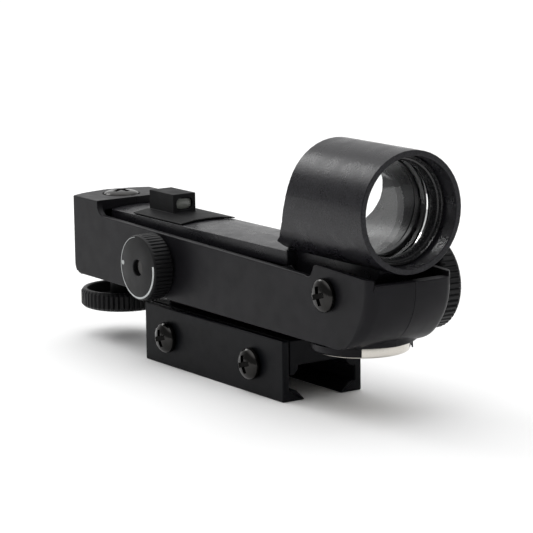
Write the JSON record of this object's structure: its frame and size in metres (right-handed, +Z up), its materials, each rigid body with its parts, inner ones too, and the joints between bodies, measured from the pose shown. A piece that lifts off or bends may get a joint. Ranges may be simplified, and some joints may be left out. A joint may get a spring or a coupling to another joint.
{
  "type": "red dot finder",
  "caption": "Reflex finder on a rail clamp: a curved lens in a short tube shows a lit dot, two knurled knobs aim it, a side dial dims it.",
  "frame": {"origin": "middle of the rail seat, the roof of the clamp's channel", "axes": "+X along the line of sight towards the lens tube, +Y to the user's left, +Z up"},
  "size_m": [0.1228, 0.0332, 0.0559],
  "materials": {
    "shell_black": "moulded plastic, fine satin texture, black",
    "arm_black": "moulded plastic, fine sparkle texture, black",
    "clamp_black": "smooth satin black coating",
    "screw_black": "glossy black finish",
    "knob_black": "satin black, knurled rim",
    "steel": "bright plated",
    "cell_steel": "bright, slightly warm",
    "brass": "plain",
    "lens_glass": "clear, coated",
    "led_red": "clear red",
    "red_wire": "red insulation",
    "black_wire": "black insulation"
  },
  "bodies": {
    "housing": {"housing_right": "shell_black", "housing_left": "shell_black", "rail_base": "clamp_black", "mount_screw_rear": "screw_black", "mount_screw_front": "screw_black", "mount_nut_rear": "steel", "mount_nut_front": "steel", "shell_screw_rear": "screw_black", "shell_screw_middle": "screw_black", "shell_screw_nose": "screw_black", "negative_contact": "brass", "positive_contact": "brass", "potentiometer": "steel", "battery_wire_red": "red_wire", "battery_wire_black": "black_wire", "azimuth_spring": "steel", "altitude_spring": "steel"},
    "clamp_jaw": {"clamp_jaw": "clamp_black"},
    "clamp_screw_rear": {"clamp_screw_rear": "screw_black"},
    "clamp_screw_front": {"clamp_screw_front": "screw_black"},
    "azimuth_adjuster": {"azimuth_knob": "knob_black", "azimuth_screw": "screw_black", "azimuth_washer": "steel"},
    "altitude_adjuster": {"altitude_knob": "knob_black", "altitude_screw": "screw_black", "altitude_washer": "steel"},
    "pivot_nut": {"pivot_nut": "brass"},
    "sight_arm": {"arm_right": "arm_black", "arm_left": "arm_black", "arm_screw_rear": "screw_black", "arm_screw_front": "screw_black", "altitude_nut": "brass", "objective_lens": "lens_glass", "lens_retainer": "arm_black", "led_housing": "knob_black", "led_window": "lens_glass", "pinhole_mask": "steel", "led": "led_red", "led_leads": "red_wire"},
    "brightness_dial": {"brightness_knob": "knob_black", "dial_shaft": "steel", "dial_screw": "screw_black"},
    "coin_cell": {"coin_cell": "cell_steel"}
  },
  "joints": [
    {"name": "azimuth_turn", "type": "hinge", "parent": "housing", "child": "azimuth_adjuster", "pos_m": [0.0436, 0, 0.0181], "axis": [0, 1, 0], "range_deg": [-690, 690]},
    {"name": "altitude_turn", "type": "hinge", "parent": "housing", "child": "altitude_adjuster", "pos_m": [-0.0534, 0, 0.0262], "axis": [0, 0, 1], "range_deg": [-690, 690]},
    {"name": "arm_yaw", "type": "hinge", "parent": "housing", "child": "pivot_nut", "pos_m": [-0.0534, 0, 0.0181], "axis": [0, 0, 1], "range_deg": [-0.79, 0.79], "deforming": ["azimuth_spring"]},
    {"name": "arm_pitch", "type": "hinge", "parent": "pivot_nut", "child": "sight_arm", "pos_m": [0.0436, 0, 0.0181], "axis": [0, 1, 0], "range_deg": [-0.79, 0.79], "deforming": ["altitude_spring"]},
    {"name": "brightness_turn", "type": "hinge", "parent": "housing", "child": "brightness_dial", "pos_m": [-0.0204, -0.0162, 0.01495], "axis": [0, -1, 0], "range_deg": [0, 270]},
    {"name": "jaw_slide", "type": "slide", "parent": "housing", "child": "clamp_jaw", "axis": [0, -1, 0], "range_m": [0, 0.0025]},
    {"name": "clamp_screw_rear_turn", "type": "hinge", "parent": "clamp_jaw", "child": "clamp_screw_rear", "pos_m": [-0.0174, -0.0102, -0.001], "axis": [0, -1, 0], "range_deg": [0, 1290]},
    {"name": "clamp_screw_front_turn", "type": "hinge", "parent": "clamp_jaw", "child": "clamp_screw_front", "pos_m": [0.0159, -0.0102, -0.001], "axis": [0, -1, 0], "range_deg": [0, 1290]},
    {"name": "cell_drop", "type": "slide", "parent": "housing", "child": "coin_cell", "axis": [0, 0, -1], "range_m": [0, 0.008]}
  ],
  "couplings": [
    {"joint": "azimuth_turn", "follows": "arm_yaw", "ratio": -870.67},
    {"joint": "altitude_turn", "follows": "arm_pitch", "ratio": -870.67},
    {"joint": "clamp_screw_rear_turn", "follows": "jaw_slide", "rad_per_m": 8976},
    {"joint": "clamp_screw_front_turn", "follows": "jaw_slide", "rad_per_m": 8976}
  ]
}
